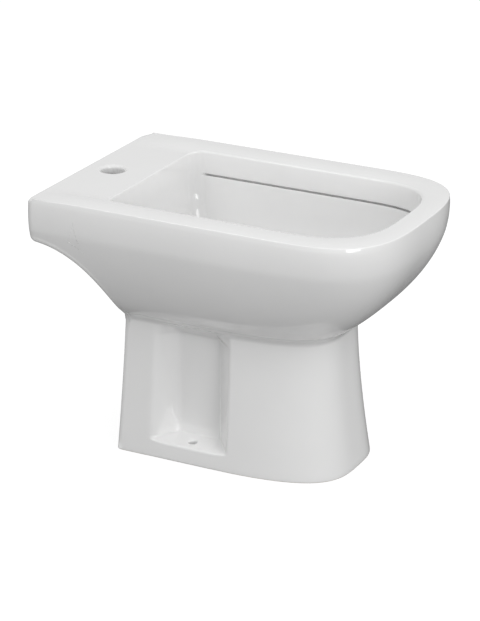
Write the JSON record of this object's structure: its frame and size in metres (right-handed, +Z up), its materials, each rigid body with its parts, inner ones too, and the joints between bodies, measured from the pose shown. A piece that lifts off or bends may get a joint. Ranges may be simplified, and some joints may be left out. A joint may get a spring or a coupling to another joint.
{
  "type": "floor standing bidet",
  "caption": "Floor-standing bidet in white glazed china: flat tap deck, deep basin, waisted pedestal with side niches, click waste and bottle trap.",
  "frame": {"origin": "on the floor, under the middle of the overall length and width", "axes": "+Z up; +Y from the nose towards the wall; +X across the width"},
  "size_m": [0.3514, 0.5331, 0.39],
  "materials": {
    "china": "glossy white glaze",
    "waste_metal": "polished chrome plate",
    "black_rubber": "moulded rubber",
    "white_plastic": "moulded white polypropylene",
    "plunger_plastic": "moulded acetal",
    "brass": "machined brass",
    "spring_steel": "drawn stainless wire"
  },
  "bodies": {
    "casting": {"rim_and_deck": "china", "basin": "china", "body_shell": "china", "waste_body": "waste_metal", "top_gasket": "black_rubber", "bottom_gasket": "black_rubber", "slip_washer": "white_plastic", "back_nut": "brass", "return_spring": "spring_steel", "cartridge_housing": "plunger_plastic", "tail_nut": "waste_metal", "tail_washer": "black_rubber", "tailpiece": "waste_metal", "trap_inlet_nut": "white_plastic", "trap_inlet_seal": "black_rubber", "trap_body": "white_plastic", "trap_cup": "white_plastic", "trap_cup_seal": "black_rubber", "trap_outlet_nut": "white_plastic", "trap_outlet_seal": "black_rubber", "outlet_pipe": "white_plastic"},
    "plug": {"waste_plug": "waste_metal", "plug_seal": "black_rubber", "plunger": "plunger_plastic"}
  },
  "joints": [
    {"name": "plug_press", "type": "slide", "parent": "casting", "child": "plug", "axis": [0, 0, 1], "range_m": [-0.009, 0], "stiffness_N_per_m": 200, "springref_m": 0.01, "deforming": ["return_spring"]}
  ]
}
